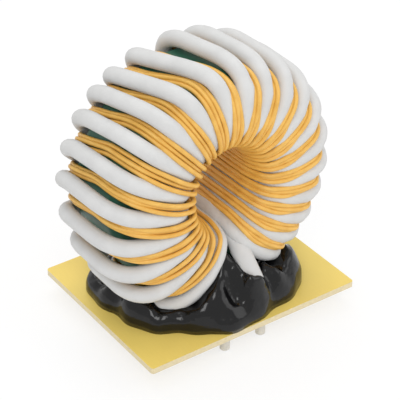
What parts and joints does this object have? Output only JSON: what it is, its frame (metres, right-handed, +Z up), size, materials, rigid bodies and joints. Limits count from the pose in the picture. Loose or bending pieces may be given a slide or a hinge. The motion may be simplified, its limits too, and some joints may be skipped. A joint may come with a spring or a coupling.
{
  "type": "toroidal transformer",
  "caption": "Toroidal transformer: a coated ferrite ring on edge, wound with thick insulated wire and thin strands, bonded to a plate with tinned pins for soldering.",
  "frame": {"origin": "middle of the four pins, on the plate's underside", "axes": "+X along the plate's length, the ring's axis along Y, +Z up from the plate to the ring"},
  "size_m": [0.0664, 0.049, 0.0737],
  "materials": {
    "plate": "bare epoxy-glass sheet, satin",
    "core": "green epoxy coating on ferrite",
    "primary_wire": "white soft insulation, matte",
    "secondary_wire": "yellow insulation, satin",
    "adhesive": "cured black adhesive, glossy",
    "pin": "tinned wire end, frosty"
  },
  "bodies": {
    "root": {"base_plate": "plate", "toroid_core": "core", "primary_winding": "primary_wire", "secondary_strand_1": "secondary_wire", "secondary_strand_2": "secondary_wire", "secondary_strand_3": "secondary_wire", "adhesive_bed": "adhesive", "primary_pin_start": "pin", "primary_pin_finish": "pin", "secondary_pin_start": "pin", "secondary_pin_finish": "pin"}
  },
  "joints": []
}
